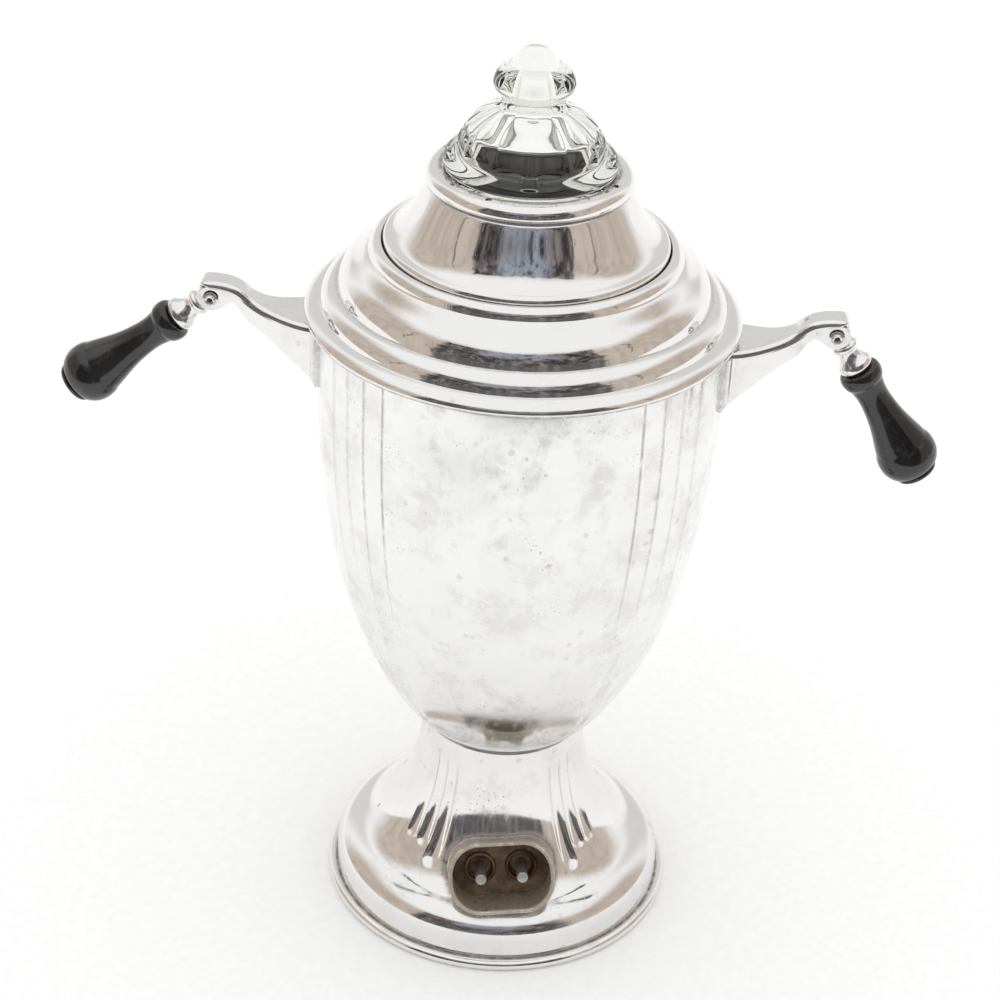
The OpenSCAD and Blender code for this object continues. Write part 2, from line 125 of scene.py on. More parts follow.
def offset(line, t):
    """The line moved t to its left."""
    d = np.gradient(np.array(line, float), axis=0)
    d /= np.linalg.norm(d, axis=1)[:, None]
    return line + t * np.stack([-d[:, 1], d[:, 0]], -1)


def sheet_outline(line, t, radius=0.5, step=0.6, coarse=4):
    """Closed outline of sheet metal: its outside is the line, and its inside needs fewer points."""
    outer = softened(line, radius, step)
    inner = offset(outer, t)
    keep = np.unique(np.append(np.arange(0, len(inner), coarse), len(inner) - 1))
    return np.concatenate([outer, inner[keep][::-1]])


def step_up(x, a, b):
    """0 below a, 1 above b, smooth between."""
    t = np.clip((np.asarray(x, float) - a) / (b - a), 0, 1)
    return t * t * (3 - 2 * t)


# ---------------------------------------------------------------- meshes

def new_piece(name, points, faces, sharp=38):
    """A smooth-shaded object from points in mm. Edges sharper than sharp degrees stay crisp."""
    mesh = bpy.data.meshes.new(name)
    mesh.from_pydata((np.asarray(points, float) * MM).tolist(), [], faces)
    bm = bmesh.new()
    bm.from_mesh(mesh)
    bmesh.ops.recalc_face_normals(bm, faces=bm.faces)
    bm.to_mesh(mesh)
    bm.free()
    mesh.polygons.foreach_set("use_smooth", [True] * len(mesh.polygons))
    mesh.set_sharp_from_angle(angle=math.radians(sharp))
    piece = bpy.data.objects.new(name, mesh)
    bpy.context.scene.collection.objects.link(piece)
    return piece


def paint(piece, name, values):
    """A named number on each point, which the piece's material reads."""
    attribute = piece.data.attributes.new(name, "FLOAT", "POINT")
    attribute.data.foreach_set("value", np.asarray(values, np.float32).ravel())


def skinned(name, layers, wrap_layers=True, caps=False, sharp=38):
    """A surface through layers of points, each layer a closed loop; it closes on itself or has caps."""
    layers = np.asarray(layers, float)
    rows, n = layers.shape[:2]
    faces = []
    j = np.arange(n)
    for i in range(rows if wrap_layers else rows - 1):
        a, b = i * n, (i + 1) % rows * n
        faces += np.stack([a + j, a + (j + 1) % n, b + (j + 1) % n, b + j], -1).tolist()
    if caps:
        faces += [list(range(n))[::-1], list(range((rows - 1) * n, rows * n))]
    return new_piece(name, layers.reshape(-1, 3), faces, sharp)


def lathe(name, outline, segments=360, press=None, place=None, sharp=38):
    """A turned piece. Its outline is (radius, height), closed, or open with both ends on the axis.
    press(angle, r, z, along) gives how far each point is moved out; place(points) moves them all."""
    outline = np.array(outline, float)
    along = np.concatenate([[0], np.cumsum(np.linalg.norm(np.diff(outline, axis=0), axis=1))])
    poles = outline[[0, -1]] if outline[0, 0] < 1e-6 else None
    if poles is not None:
        outline, along = outline[1:-1], along[1:-1]
    angle = np.linspace(0, TAU, segments, endpoint=False)[None]
    r, z, s = outline[:, :1], outline[:, 1:], along[:, None]
    r = r + (press(angle, r, z, s) if press else 0 * angle)
    points = np.stack([r * np.sin(angle), -r * np.cos(angle), z + 0 * angle], -1).reshape(-1, 3)
    rows, n = len(outline), segments
    i, j = np.meshgrid(np.arange(rows if poles is None else rows - 1), np.arange(n), indexing="ij")
    i, j, up, on = i.ravel(), j.ravel(), (i.ravel() + 1) % rows, (j.ravel() + 1) % n
    faces = np.stack([i * n + j, i * n + on, up * n + on, up * n + j], -1).tolist()
    if poles is not None:
        points = np.concatenate([points, np.stack([0 * poles[:, 0], 0 * poles[:, 0], poles[:, 1]], -1)])
        j = np.arange(n)
        for row, pole in ((0, rows * n), (rows - 1, rows * n + 1)):
            faces += np.stack([row * n + j, row * n + (j + 1) % n, 0 * j + pole], -1).tolist()
        s = np.concatenate([np.repeat(along, n), along[[0, -1]]])
    else:
        s = np.repeat(along, n)
    if place:
        points = place(points)
    piece = new_piece(name, points, faces, sharp)
    paint(piece, "run", s)
    return piece


def merged(name, pieces, sharp=38):
    """Several pieces made into one."""
    bm = bmesh.new()
    for piece in pieces:
        bm.from_mesh(piece.data)
        bpy.data.objects.remove(piece)
    mesh = bpy.data.meshes.new(name)
    bm.to_mesh(mesh)
    bm.free()
    mesh.polygons.foreach_set("use_smooth", [True] * len(mesh.polygons))
    mesh.set_sharp_from_angle(angle=math.radians(sharp))
    whole = bpy.data.objects.new(name, mesh)
    bpy.context.scene.collection.objects.link(whole)
    return whole


def cut(piece, cutter):
    """Takes the cutter's volume out of the piece."""
    modifier = piece.modifiers.new("cut", "BOOLEAN")
    modifier.object, modifier.operation, modifier.solver = cutter, "DIFFERENCE", "MANIFOLD"
    whole = piece.evaluated_get(bpy.context.evaluated_depsgraph_get())
    mesh = bpy.data.meshes.new_from_object(whole)
    piece.modifiers.clear()
    piece.data = mesh
    mesh.set_sharp_from_angle(angle=math.radians(38))
    bpy.data.objects.remove(cutter)
    return piece


def finish_piece(piece, body, material, slot, *nodes):
    """Gives the piece its material and body, and hides the CAD nodes it stands for. The slot is not used."""
    piece.data.materials.clear()
    piece.data.materials.append(material)
    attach(piece, body)
    if nodes:
        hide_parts(*nodes)
    return piece


# ---------------------------------------------------------------- materials

class Surface:
    """A node-built material: add() makes a node, and sockets take numbers, colours or other nodes."""

    def __init__(self, name="", tree=None, space="Object"):
        if tree is None:
            self.material = bpy.data.materials.new(name)
            self.material.use_nodes = True
            tree = self.material.node_tree
        self.tree = tree
        self.tree.nodes.clear()
        self.coords = self.add("ShaderNodeTexCoord").outputs[space]

    def add(self, kind, sockets=(), **settings):
        node = self.tree.nodes.new(kind)
        for key, value in settings.items():
            setattr(node, key, value)
        for key, value in dict(sockets).items():
            self.join(value, node.inputs[key])
        return node

    def join(self, value, socket):
        if isinstance(value, bpy.types.NodeSocket):
            self.tree.links.new(value, socket)
        elif isinstance(value, bpy.types.Node):
            self.tree.links.new(value.outputs[0], socket)
        elif hasattr(value, "__len__") and socket.type == "RGBA" and len(value) == 3:
            socket.default_value = (*value, 1)
        else:
            socket.default_value = value

    def math(self, operation, a, b=0.0, c=0.0):
        return self.add("ShaderNodeMath", {0: a, 1: b, 2: c}, operation=operation).outputs[0]

    def ramp(self, value, a, b, to=(0.0, 1.0)):
        """value taken from a..b to the range to, smoothly and without going past it."""
        return self.add("ShaderNodeMapRange", {"Value": value, "From Min": a, "From Max": b,
                        "To Min": to[0], "To Max": to[1]}, interpolation_type="SMOOTHSTEP").outputs[0]

    def stretched(self, scale, vector=None):
        return self.add("ShaderNodeMapping", {"Vector": vector or self.coords, "Scale": scale}).outputs[0]

    def noise(self, scale, detail=3.0, rough=0.55, vector=None, warp=0.0):
        return self.add("ShaderNodeTexNoise", {"Vector": vector or self.coords, "Scale": scale,
                        "Detail": detail, "Roughness": rough, "Distortion": warp}).outputs[0]

    def cells(self, scale, vector=None, feature="F1"):
        return self.add("ShaderNodeTexVoronoi", {"Vector": vector or self.coords, "Scale": scale},
                        feature=feature).outputs[0]

    def painted(self, name):
        return self.add("ShaderNodeAttribute", attribute_name=name).outputs["Fac"]

    def mix(self, factor, a, b):
        node = self.add("ShaderNodeMix", data_type="RGBA")
        self.join(factor, node.inputs[0])
        self.join(a, node.inputs[6])
        self.join(b, node.inputs[7])
        return node.outputs[2]

    def bump(self, height, distance, strength=1.0, below=None):
        sockets = {"Height": height, "Distance": distance, "Strength": strength}
        if below:
            sockets["Normal"] = below
        return self.add("ShaderNodeBump", sockets).outputs[0]

    def shade(self, **sockets):
        names = {k.replace("_", " "): v for k, v in sockets.items()}
        shader = self.add("ShaderNodeBsdfPrincipled", names)
        self.add("ShaderNodeOutputMaterial", {"Surface": shader})
        return self.material


def round_the_axis(s, fine, slow):
    """Coordinates for marks that run round a turned piece: fine across its outline, slow round it."""
    parts = s.add("ShaderNodeSeparateXYZ", {0: s.coords})
    ring = s.add("ShaderNodeVectorMath", {0: s.add("ShaderNodeCombineXYZ", {0: parts.outputs[0],
                 1: parts.outputs[1]})}, operation="NORMALIZE")
    turn = s.add("ShaderNodeSeparateXYZ", {0: ring})
    return s.add("ShaderNodeCombineXYZ", {0: s.math("MULTIPLY", turn.outputs[0], slow),
                 1: s.math("MULTIPLY", turn.outputs[1], slow),
                 2: s.math("MULTIPLY", s.painted("run"), fine)}).outputs[0]


def chrome(name, tint, clean, cloud, stains, spun=True, dirt_and_shade_tone=(0.125, 0.092, 0.060)):
    """Plated metal. clean is its lowest roughness, cloud how hazy it gets, stains how marked it is.
    The painted mask darkens it with dirt at joints, with painted shade in creases, recesses and a hole, and with a
    painted reflection band on the body, where the pieces ask; the painted wear adds haze and stains where it is."""
    s = Surface(name)
    worn = s.painted("wear")
    marked = s.math("MINIMUM", s.math("ADD", worn, stains), 1.0)
    hazy = s.math("MINIMUM", s.math("ADD", worn, cloud), 1.3)
    haze = s.math("MULTIPLY", s.ramp(s.noise(24, 5, 0.62, warp=0.5), 0.38, 0.68), hazy)
    blotch = s.math("MULTIPLY", s.ramp(s.noise(62, 6, 0.66, warp=0.3), 0.47, 0.66), hazy)
    fine = s.noise(420, 4, 0.65)
    ragged = s.math("MULTIPLY_ADD", fine, 0.16, -0.08)
    here = s.ramp(s.noise(40, 4, 0.6), 0.44, 0.60)
    drop = s.ramp(s.math("ADD", s.cells(125), ragged), 0.20, 0.12)
    drop = s.math("MULTIPLY", s.math("MULTIPLY", drop, marked), s.math("MULTIPLY_ADD", here, 0.7, 0.3))
    speck = s.ramp(s.math("ADD", s.cells(560), ragged), 0.26, 0.12)
    speck = s.math("MULTIPLY", s.math("MULTIPLY", speck, marked), s.ramp(s.noise(34, 5, 0.7), 0.50, 0.66))
    dot = s.ramp(s.math("ADD", s.cells(30), s.math("MULTIPLY", ragged, 0.2)), 0.040, 0.028)
    dot = s.math("MULTIPLY", dot, marked)
    # Mask: dirt at joints, plus painted shade in creases and recesses and a painted reflection band low on the
    # body
    grime_and_painted_shade = s.math("MULTIPLY", s.painted("grime_and_painted_shade"), s.ramp(s.noise(230, 4, 0.65), 0.20, 0.60))
    scratch_at = round_the_axis(s, 9.0, 6.0) if spun else s.stretched((30, 500, 500))
    lines = s.ramp(s.noise(1.0, 4, 0.6, vector=scratch_at), 0.56, 0.72)
    stray = s.ramp(s.noise(1.0, 2, 0.5, vector=s.stretched((900, 60, 240))), 0.63, 0.70)

    colour = s.mix(s.math("MULTIPLY", haze, 0.45), tint, [c * 0.90 for c in tint])
    colour = s.mix(s.math("MULTIPLY", blotch, 0.30), colour, (0.70, 0.695, 0.68))
    colour = s.mix(s.math("MULTIPLY", lines, 0.05), colour, (0.62, 0.61, 0.60))
    colour = s.mix(s.math("MULTIPLY", drop, 0.32), colour, (0.55, 0.54, 0.515))
    colour = s.mix(s.math("MULTIPLY", speck, 0.55), colour, (0.36, 0.33, 0.29))
    colour = s.mix(s.math("MULTIPLY", dot, 0.9), colour, (0.085, 0.055, 0.035))
    # Mixes towards the dark tone where the mask says, for real dirt and for painted shade alike
    colour = s.mix(grime_and_painted_shade, colour, dirt_and_shade_tone)
    rough = s.math("MULTIPLY_ADD", worn, 0.05, clean)
    rough = s.math("MULTIPLY_ADD", haze, 0.09, rough)
    rough = s.math("MULTIPLY_ADD", blotch, 0.10, rough)
    rough = s.math("MULTIPLY_ADD", drop, 0.18, rough)
    rough = s.math("MULTIPLY_ADD", fine, 0.03, rough)
    rough = s.math("MULTIPLY_ADD", lines, 0.03, rough)
    rough = s.math("MULTIPLY_ADD", stray, 0.05, rough)
    rough = s.math("MAXIMUM", rough, s.math("MULTIPLY", grime_and_painted_shade, 0.60))
    rough = s.math("MAXIMUM", rough, s.math("MULTIPLY", s.math("MAXIMUM", speck, dot), 0.5))
    metal = s.math("SUBTRACT", 1.0, s.math("MULTIPLY", s.math("MAXIMUM", grime_and_painted_shade, dot), 0.75))
    ripple = s.bump(s.noise(34, 2, 0.5), 0.00012, 0.35)
    pitted = s.math("MULTIPLY", s.math("ADD", speck, dot), -0.8)
    relief = s.math("MULTIPLY_ADD", stray, -0.4, pitted)
    marks = s.bump(relief, 0.00004, 0.5, ripple)
    return s.shade(Base_Color=colour, Metallic=metal, Roughness=rough, Normal=marks)


def plain_metal(name, tint, dark, rough, grain):
    """An inner metal piece: brushed, with dull patches."""
    s = Surface(name)
    patch = s.ramp(s.noise(60, 5, 0.6), 0.35, 0.70)
    brushed = s.noise(1.0, 3, 0.5, vector=s.stretched(grain))
    colour = s.mix(patch, tint, dark)
    level = s.math("MULTIPLY_ADD", patch, 0.15, s.math("MULTIPLY_ADD", brushed, 0.12, rough))
    return s.shade(Base_Color=colour, Metallic=1.0, Roughness=level,
                   Normal=s.bump(brushed, 0.00003, 0.4))


def phenolic(name):
    s = Surface(name)
    swirl = s.ramp(s.noise(40, 4, 0.6, warp=0.6), 0.35, 0.75)
    worn = s.ramp(s.noise(130, 6, 0.7), 0.52, 0.72)
    scratch = s.ramp(s.noise(1.0, 3, 0.55, vector=s.stretched((1100, 90, 160))), 0.60, 0.70)
    dust = s.math("MULTIPLY", s.ramp(s.cells(1300), 0.14, 0.04), s.ramp(s.noise(160, 3), 0.5, 0.6))
    colour = s.mix(swirl, (0.007, 0.007, 0.0075), (0.014, 0.0125, 0.0115))
    colour = s.mix(s.math("MULTIPLY", worn, 0.35), colour, (0.060, 0.056, 0.053))
    colour = s.mix(s.math("MULTIPLY", dust, 0.5), colour, (0.22, 0.21, 0.20))
    rough = s.math("MULTIPLY_ADD", worn, 0.16, s.math("MULTIPLY_ADD", scratch, 0.14, 0.13))
    return s.shade(Base_Color=colour, Roughness=rough, IOR=1.66,
                   Normal=s.bump(s.math("ADD", scratch, s.math("MULTIPLY", worn, 0.5)), 0.00003, 0.35))


def glass(name):
    s = Surface(name)
    film = s.ramp(s.noise(90, 5, 0.6), 0.45, 0.75)
    flow = s.noise(45, 2, 0.5)
    colour = s.mix(film, (0.99, 0.995, 0.985), (0.965, 0.97, 0.945))
    rough = s.math("MULTIPLY", film, 0.035)
    s.shade(Base_Color=colour, Roughness=rough, IOR=1.40, Transmission_Weight=1.0,
            Normal=s.bump(flow, 0.0004, 0.35))
    depth = s.add("ShaderNodeVolumeAbsorption", {"Color": (0.76, 0.785, 0.72), "Density": 16.0})
    s.join(depth, s.tree.nodes["Material Output"].inputs["Volume"])
    return s.material


def baked_clay(name, light, dark):
    """Dirty porcelain or fibre."""
    s = Surface(name)
    patch = s.ramp(s.noise(110, 6, 0.65), 0.30, 0.70)
    speck = s.ramp(s.noise(700, 4, 0.7), 0.5, 0.7)
    colour = s.mix(patch, light, dark)
    colour = s.mix(s.math("MULTIPLY", speck, 0.5), colour, [c * 0.4 for c in dark])
    return s.shade(Base_Color=colour, Roughness=s.math("MULTIPLY_ADD", patch, 0.2, 0.6),
                   Normal=s.bump(speck, 0.0001, 0.6))


def braid(name):
    s = Surface(name)
    weave = s.add("ShaderNodeTexWave", {"Vector": s.coords, "Scale": 700.0, "Distortion": 2.0},
                  bands_direction="DIAGONAL").outputs[0]
    colour = s.mix(weave, (0.30, 0.26, 0.20), (0.55, 0.50, 0.42))
    return s.shade(Base_Color=colour, Roughness=s.math("MULTIPLY_ADD", weave, 0.1, 0.8),
                   Normal=s.bump(weave, 0.0002, 0.8))


def rubber(name):
    s = Surface(name)
    bloom = s.ramp(s.noise(150, 5, 0.6), 0.4, 0.7)
    colour = s.mix(bloom, (0.02, 0.02, 0.02), (0.05, 0.048, 0.045))
    return s.shade(Base_Color=colour, Roughness=s.math("MULTIPLY_ADD", bloom, 0.15, 0.6),
                   Normal=s.bump(bloom, 0.0001, 0.4))


PLATE = (0.86, 0.855, 0.845)
finish = {
    "bright_chrome": chrome("bright_chrome", PLATE, 0.03, 0.30, 0.22),
    "dull_chrome": chrome("dull_chrome", (0.90, 0.90, 0.895), 0.07, 0.45, 0.45),
    "tarnished_metal": chrome("tarnished_metal", (0.80, 0.77, 0.72), 0.20, 0.9, 0.6, spun=False,
                              dirt_and_shade_tone=(0.30, 0.235, 0.165)),
    "steel": plain_metal("steel", (0.62, 0.61, 0.59), (0.42, 0.40, 0.37), 0.22, (60, 60, 900)),
    "brass": plain_metal("brass", (0.60, 0.47, 0.27), (0.27, 0.20, 0.12), 0.28, (200, 200, 700)),
    "aluminium": plain_metal("aluminium", (0.72, 0.72, 0.72), (0.50, 0.50, 0.49), 0.26, (80, 80, 900)),
    "black_phenolic": phenolic("black_phenolic"),
    "clear_glass": glass("clear_glass"),
    "insulation": baked_clay("insulation", (0.19, 0.125, 0.07), (0.06, 0.038, 0.022)),
    "wire_braid": braid("wire_braid"),
    "gasket_rubber": rubber("gasket_rubber"),
}
cast_chrome = chrome("cast_chrome", (0.86, 0.857, 0.85), 0.09, 0.7, 0.6, spun=False)
rusted_brass = plain_metal("rusted_brass", (0.40, 0.235, 0.15), (0.13, 0.07, 0.04), 0.38, (300, 300, 300))
worn_steel = plain_metal("worn_pins", (0.66, 0.65, 0.63), (0.46, 0.44, 0.41), 0.34, (400, 400, 400))

for node, piece in frame["nodes"].items():
    piece.data.materials.clear()
    piece.data.materials.append(finish[slot_of[node]])
    piece.data.polygons.foreach_set("use_smooth", [True] * len(piece.data.polygons))
    piece.data.set_sharp_from_angle(angle=math.radians(32))


# ---------------------------------------------------------------- pressed flutes

def flutes(centres, pitch, depth, count=3):
    """Groups of hollow flutes side by side; gives how deep each angle is, from 0 to depth."""
    def at(angle, reach=None):
        deep = 0 * angle
        for centre in centres:
            for k in range(count):
                mid = math.radians(centre + (k - (count - 1) / 2) * pitch)
                away = np.abs((angle - mid + math.pi) % TAU - math.pi) / math.radians(pitch / 2)
                beyond = 0 if reach is None else reach
                deep = np.maximum(deep, 1 - away ** 2 - beyond ** 2)
        return depth * deep
    return at


BODY_GROUP, BODY_PITCH, FOOT_PITCH = 49, 7.6, 8.9
BODY_FLUTES = flutes((-131, -BODY_GROUP, BODY_GROUP, 131), BODY_PITCH, 1.0)
FOOT_FLUTES = flutes((-134.3, -45.7, 45.7, 134.3), FOOT_PITCH, 1.7)


# ---------------------------------------------------------------- foot

neck_r = 34
shoulder = (60, 24.1)
foot_line = ([(70.5, ring_top), (70.5, ring_top + 0.6)]
             + curve((70.2, 14.6), (69.4, 19.6), (65.6, 22.2), shoulder)
             + curve(shoulder, (50.5, 27.5), (neck_r + 1.3, 48), (neck_r, joint_z - 0.8), 40)
             + [(neck_r, joint_z - 0.8), (neck_r - 0.8, joint_z), (28, joint_z)])
foot_shape = spaced(foot_line[:-2], 0.2)


def foot_radius(z):
    return np.interp(z, foot_shape[:, 1], foot_shape[:, 0])


def foot_press(angle, r, z, along):
    width = np.radians(FOOT_PITCH / 2) * r
    from_inlet = np.degrees(np.abs((angle - foot_turn + math.pi) % TAU - math.pi))
    end = np.where(from_inlet < 41.3, 33, 37.5)
    reach = np.clip((end - z) * 1.25 / width, 0, None)
    deep = FOOT_FLUTES(angle - foot_turn, reach) * (1 - step_up(z, 66, 83))
    return -deep * (z > 24.3)


# How the inlet lies: its own x, y (inward) and z (up), from the two pins
inlet_at = (pin_a + pin_b) / 2
inlet_x = (pin_b - pin_a).normalized()
inlet_y = -inlet_out
inlet_z = inlet_x.cross(inlet_y)
INLET = np.array([inlet_x, inlet_y, inlet_z])


def in_inlet(p):
    return np.asarray(p, float) @ INLET + np.array(inlet_at)


def rounded(w, h, r, n=20, m=14):
    """A rectangle with round corners, as points (x, z); the count doesn't depend on its size."""
    points = []
    for k, (sx, sz) in enumerate(((1, 1), (-1, 1), (-1, -1), (1, -1))):
        a = np.radians(np.linspace(90 * k, 90 * k + 90, n + 1))
        c = np.array([sx * (w / 2 - r), sz * (h / 2 - r)])
        points += list(c + r * np.stack([np.cos(a), np.sin(a)], -1))
    points = np.array(points + points[:1])
    out = []
    for k in range(4):
        corner = points[k * (n + 1):(k + 1) * (n + 1)]
        out += list(corner)
        a, b = corner[-1], points[(k + 1) * (n + 1)]
        out += [a + (b - a) * i / m for i in range(1, m)]
    return np.array(out)


SHROUD = (44.4, 28.3, 13)
WALL = 1.6
MOUTH, MOUTH_LEAN = 16, math.tan(math.radians(18))
FLARE = 0.9


def shroud_loop(out):
    w, h, r = SHROUD
    return rounded(w + 2 * out, h + 2 * out, r + out)


def surface_y(loop):
    """Where each point of a loop, moved along the inlet's axis, meets the foot."""
    near, far = np.full(len(loop), -30.0), np.full(len(loop), 14.0)
    for _ in range(40):
        mid = (near + far) / 2
        p = in_inlet(np.stack([loop[:, 0], mid, loop[:, 1]], -1))
        outside = np.hypot(p[:, 0], p[:, 1]) > foot_radius(p[:, 2])
        near, far = np.where(outside, mid, near), np.where(outside, far, mid)
    return near


def shroud_layers():
    """Layers of the shroud from behind the insulator, out round the lip, and down into a flare."""
    def layer(out, y):
        loop = shroud_loop(out)
        y = y(loop) if callable(y) else np.full(len(loop), float(y))
        return in_inlet(np.stack([loop[:, 0], y, loop[:, 1]], -1))

    def mouth_y(back):
        return lambda loop: -MOUTH + MOUTH_LEAN * loop[:, 1] + back
    lip = WALL / 2 + 0.15
    layers = [layer(-WALL, y) for y in (7.9, 4, 0.5)]
    for k in (0.3, 0.6, 0.85, 1):
        layers.append(layer(-WALL, lambda loop, k=k: (1 - k) * 0.5 + k * mouth_y(2.2)(loop)))
    for a in np.radians(np.linspace(0, 180, 13)):
        layers.append(layer(-WALL / 2 + 0.1 - lip * math.cos(a), mouth_y(lip - lip * math.sin(a) * 1.1)))
    for k in (0.25, 0.6):
        layers.append(layer(0, lambda loop, k=k: (1 - k) * mouth_y(1.6)(loop)
                            + k * (surface_y(loop) - FLARE)))
    for a in np.radians(np.linspace(0, 90, 9)):
        out = FLARE * (1 - math.cos(a))
        layers.append(layer(out, lambda loop, a=a: surface_y(loop) - FLARE * (1 - math.sin(a)) + 0.12))
    layers.append(layer(FLARE, lambda loop: surface_y(loop) + 0.7))
    layers += [layer(0, lambda loop: surface_y(loop) + 1.2), layer(0, 7.9)]
    return layers


foot = lathe("foot", sheet_outline(foot_line, 1.0, 0.5, 0.75), 600, foot_press)
hole = skinned("foot_hole", [in_inlet(np.stack([p[:, 0], np.full(len(p), y), p[:, 1]], -1))
               for p in [shroud_loop(-0.4)] for y in (-40, 10)], wrap_layers=False, caps=True)
cut(foot, hole)


def paint_by_place(piece, name, value):
    """Paints value(x, y, z), with the place in mm."""
    co = np.zeros(len(piece.data.vertices) * 3)
    piece.data.vertices.foreach_get("co", co)
    paint(piece, name, value(*(co.reshape(-1, 3) / MM).T))


def paint_grime_and_shade(piece, *spots):
    """Grime and painted shade from 0 to 1 where spot functions of (x, y, z) in mm say."""
    paint_by_place(piece, "grime_and_painted_shade", lambda x, y, z: np.clip(sum(spot(x, y, z) for spot in spots), 0, 1))


def band(z0, width, strength):
    return lambda x, y, z: strength * np.exp(-((z - z0) / width) ** 2)


def in_shroud(x, y, z):
    """How far each point is outside the shroud's outer wall, and its place in the inlet's own frame."""
    p = (np.stack([x, y, z], -1) - np.array(inlet_at)) @ INLET.T
    w, h, r = SHROUD
    across, up = np.abs(p[:, 0]) - (w / 2 - r), np.abs(p[:, 2]) - (h / 2 - r)
    corner = np.hypot(np.maximum(across, 0), np.maximum(up, 0))
    return corner + np.minimum(np.maximum(across, up), 0) - r, p


def round_inlet(x, y, z):
    gap, p = in_shroud(x, y, z)
    return 0.8 * np.exp(-(np.maximum(gap - FLARE, 0) / 1.3) ** 2) * (p[:, 1] < 12)


# Painted shade: the shroud's inner walls behind the mouth are darkened to stand in for the shade inside the recess
def inside_shroud(x, y, z):
    gap, p = in_shroud(x, y, z)
    return 1.4 * (gap < 0.1 - WALL) * step_up(p[:, 1] + MOUTH - MOUTH_LEAN * p[:, 2], 0.6, 5)


paint_grime_and_shade(foot, band(ring_top, 0.8, 0.9), band(joint_z, 0.9, 0.8), round_inlet)
paint_by_place(foot, "wear", lambda x, y, z: np.clip(step_up(z, 52, 72) + 0.35 * (z < 22) + 0.25, 0, 1))
finish_piece(foot, "urn", finish["bright_chrome"], "bright_chrome", "foot_shell")

bead_r = 2.3
bead_line = [(66, 0)] + roll((foot_r - bead_r, 0), bead_r, -90, 90, 30) + [(66, ring_top)]
base_bead = lathe("base_bead", spaced(bead_line, 0.35), 480)
paint_grime_and_shade(base_bead, lambda x, y, z: 0.9 * np.exp(-((np.hypot(x, y) - 70.7) / 0.7) ** 2))
finish_piece(base_bead, "urn", finish["bright_chrome"], "bright_chrome", "base_ring")

shroud = skinned("inlet_shroud_rolled", shroud_layers())
paint(shroud, "run", np.zeros(len(shroud.data.vertices)))
# Inside the shroud: painted shade; round its foot: dirt at the joint
paint_grime_and_shade(shroud, inside_shroud, round_inlet)
finish_piece(shroud, "urn", finish["tarnished_metal"], "tarnished_metal", "inlet_shroud")

# Outlines of a bushing and its pin: radius, and how far in from the inlet's origin
bush_r = 6.8
bush_line = [(bush_r, 4.9)] + roll((bush_r, -0.75), 0.75, 0, -180, 12) + [(5.3, 1.6), (4.7, 2.0), (4.5, 4.9)]
pin_line = [(0, -17)] + roll((1.5, -17), 0.88, -90, 0, 6) + [(2.38, 3), (0, 3)]
bushes, pins = [], []
for at in (pin_a, pin_b):
    place = lambda p, at=at: np.stack([p[:, 0], p[:, 2], p[:, 1]], -1) @ INLET + np.array(at)
    bushes.append(lathe("bush", bush_line, 96, place=place))
    pins.append(lathe("pin", pin_line, 64, place=place))
finish_piece(merged("inlet_bushings_rolled", bushes), "urn", rusted_brass, "brass", "inlet_bushings")
finish_piece(merged("inlet_pins_turned", pins), "urn", worn_steel, "steel", "inlet_pins")


# ---------------------------------------------------------------- body and collar

body_shoulder_z = 255
rim_r = collar_r - 7.34
body_line = (curve((neck_r, joint_z), (56, 104), (81.6, 160), (body_r, body_shoulder_z), 80)
             + curve((body_r, body_shoulder_z), (body_r, 262), (body_r, 266), (body_r, 272), 6)
             + curve((body_r, 272), (body_r, 275.5), (rim_r, 275.5), (rim_r, 279), 12) + [(rim_r, 280)])


def body_press(angle, r, z, along):
    return -BODY_FLUTES(angle) * step_up(z, 92, 128) * (1 - step_up(z, 271, 274))


body = lathe("body", sheet_outline([(21.5, joint_z)] + body_line, 1.0, 0.5, 1.6), 480, body_press)


def crease_lines(x, y, z):
    """Painted shade: brown lines in the creases beside the two front groups of flutes, fainter lower down."""
    angle = np.degrees(np.arctan2(x, -y))
    creases = (BODY_GROUP + k * BODY_PITCH for k in (-1.5, -0.5, 0.5, 1.5))
    gap = np.min([np.abs(np.abs(angle) - crease) for crease in creases], axis=0)
    return 0.75 * np.exp(-(gap / 0.28) ** 2) * step_up(z, 150, 225) * (z < 273)


# Dirt at the joints with the foot and collar; the broad darker band at z 95 is a painted reflection of the foot,
# and the crease lines are painted shade
paint_grime_and_shade(body, band(joint_z, 1.0, 0.9), band(95, 7, 0.30), band(collar_z - 1.2, 1.6, 0.5),
         crease_lines)
paint_by_place(body, "wear", lambda x, y, z: step_up(z, 96, 125))
finish_piece(body, "urn", finish["dull_chrome"], "dull_chrome", "body_shell")

roll_2 = roll((collar_r - 6.14, collar_z + 4.2), 8, 7, 82)
roll_3 = roll(roll_2[-1], 13.5, 8, 56)
lip_r, lip_z, mouth_r, ledge_z, ledge_r = 60.75, 300.7, 55.9, 298.2, 52.8
collar_line = ([(collar_r - 0.8, collar_z - 1.4)]
               + curve((collar_r, collar_z), (collar_r, collar_z + 1.8), (collar_r - 3.2, collar_z + 4.1),
                       (collar_r - 5.9, collar_z + 4.15))
               + roll_2 + roll_3[1:-1]
               + curve(roll_3[-1], roll_3[-1] + [-2.5, 1.7], (62.6, 300.1), (lip_r, lip_z), 12)
               + roll((lip_r, lip_z), 4.4, 0, 88)
               + [(mouth_r, 304.4), (mouth_r, ledge_z + 0.5), (mouth_r - 0.3, ledge_z), (ledge_r, ledge_z)])
collar = lathe("collar", sheet_outline(collar_line, 0.9, 0.22, 0.45), 480)
